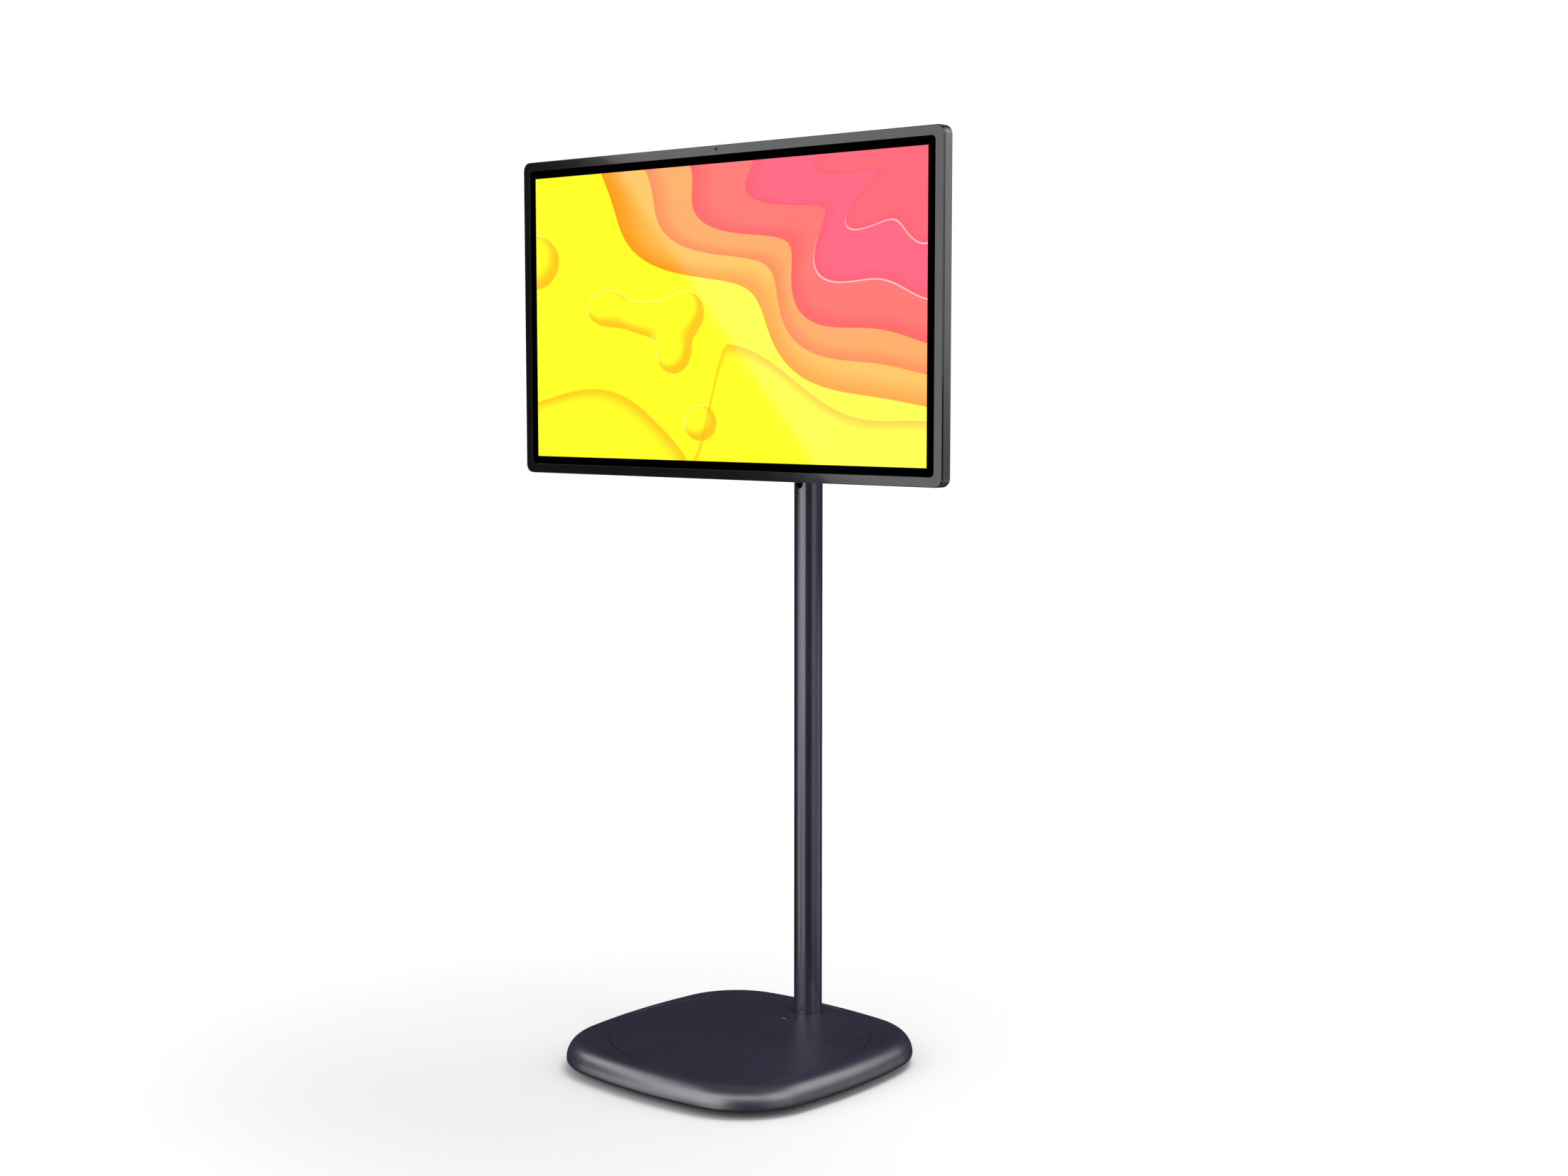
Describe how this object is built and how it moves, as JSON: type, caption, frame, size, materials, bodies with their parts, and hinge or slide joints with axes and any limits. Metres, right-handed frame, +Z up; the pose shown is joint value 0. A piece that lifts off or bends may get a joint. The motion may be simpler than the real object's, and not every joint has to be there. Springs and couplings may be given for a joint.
{
  "type": "touchscreen kiosk",
  "caption": "Free-standing kiosk: weighted rounded-square base, slim round pole and a landscape touch display on a tilting, turning bracket.",
  "frame": {"origin": "on the floor under the middle of the base", "axes": "+Z up, +X to the right of somebody facing the screen, the screen faces -Y"},
  "size_m": [0.7464, 0.4182, 1.25],
  "materials": {
    "base_satin": "satin dark indigo paint",
    "pole_satin": "satin dark indigo paint",
    "bracket_satin": "satin dark paint",
    "light_pipe": "clear pale plastic",
    "dark_steel": "primed steel",
    "zinc_steel": "zinc plated",
    "turned_steel": "turned",
    "black_screw": "black oxide",
    "black_sheet": "matt black powder coat",
    "foot_rubber": "matt black",
    "friction_pad": "matt grey-black",
    "button_black": "satin black",
    "black_plastic": "moulded black",
    "rear_plastic": "fine moulded texture, dark indigo grey",
    "band_metal": "satin dark grey",
    "bezel_gloss": "gloss black",
    "mask_black": "deep matt black",
    "screen_glass": "clear, gloss",
    "lens_glass": "gloss black",
    "panel_glass": "lit picture",
    "backlight_sheet": "pressed sheet",
    "circuit_board": "green lacquer"
  },
  "bodies": {
    "stand": {"arm_bolts": "black_screw", "ballast_bolts": "zinc_steel", "ballast_plate": "dark_steel", "base_disc": "base_satin", "base_shell": "base_satin", "bottom_cover": "black_sheet", "button_switch": "black_plastic", "clamp_front": "bracket_satin", "clamp_rear": "bracket_satin", "clamp_screws": "black_screw", "cover_standoffs": "zinc_steel", "flange_bolts": "zinc_steel", "foot_front_left": "foot_rubber", "foot_front_right": "foot_rubber", "foot_rear_left": "foot_rubber", "foot_rear_right": "foot_rubber", "foot_screws": "zinc_steel", "indicator_pips": "light_pipe", "pole_cap": "black_plastic", "pole_flange": "dark_steel", "pole_tube": "pole_satin", "support_arm": "bracket_satin", "switch_board": "circuit_board", "tilt_nut": "black_screw", "tilt_pin": "black_screw", "tilt_washers": "friction_pad"},
    "tilt_head": {"tilt_knuckle": "bracket_satin", "pivot_spindle": "turned_steel", "pivot_retainer": "turned_steel", "pivot_stop_pin": "turned_steel", "friction_disc": "friction_pad"},
    "display": {"vesa_plate": "bracket_satin", "vesa_screws": "black_screw", "pivot_hub": "bracket_satin", "rear_cover": "rear_plastic", "rear_cover_screws": "black_screw", "side_band": "band_metal", "front_bezel": "bezel_gloss", "black_mask": "mask_black", "touch_glass": "screen_glass", "camera_lens": "lens_glass", "camera_module": "black_plastic", "lcd_panel": "panel_glass", "backlight_unit": "backlight_sheet", "panel_rails": "zinc_steel", "main_board": "circuit_board", "power_board": "circuit_board", "touch_board": "circuit_board", "board_posts": "zinc_steel", "speaker_left": "black_plastic", "speaker_right": "black_plastic", "port_panel": "black_plastic"},
    "base_button": {"base_button": "button_black"},
    "power_key": {"power_key": "black_plastic"},
    "volume_rocker": {"volume_rocker": "black_plastic"}
  },
  "joints": [
    {"name": "tilt", "type": "hinge", "parent": "stand", "child": "tilt_head", "pos_m": [0, 0.045, 1.0296], "axis": [1, 0, 0], "range_deg": [-15, 15]},
    {"name": "pivot", "type": "hinge", "parent": "tilt_head", "child": "display", "pos_m": [0, 0, 1.0296], "axis": [0, -1, 0], "range_deg": [0, 90]},
    {"name": "base_button_push", "type": "slide", "parent": "stand", "child": "base_button", "axis": [0, 0, -1], "range_m": [0, 0.0015], "stiffness_N_per_m": 800, "springref_m": -0.001},
    {"name": "power_key_push", "type": "slide", "parent": "display", "child": "power_key", "axis": [0, -1, 0], "range_m": [0, 0.0008], "stiffness_N_per_m": 800, "springref_m": -0.0008},
    {"name": "volume_rocker_push", "type": "slide", "parent": "display", "child": "volume_rocker", "axis": [0, -1, 0], "range_m": [0, 0.0008], "stiffness_N_per_m": 800, "springref_m": -0.0008}
  ]
}
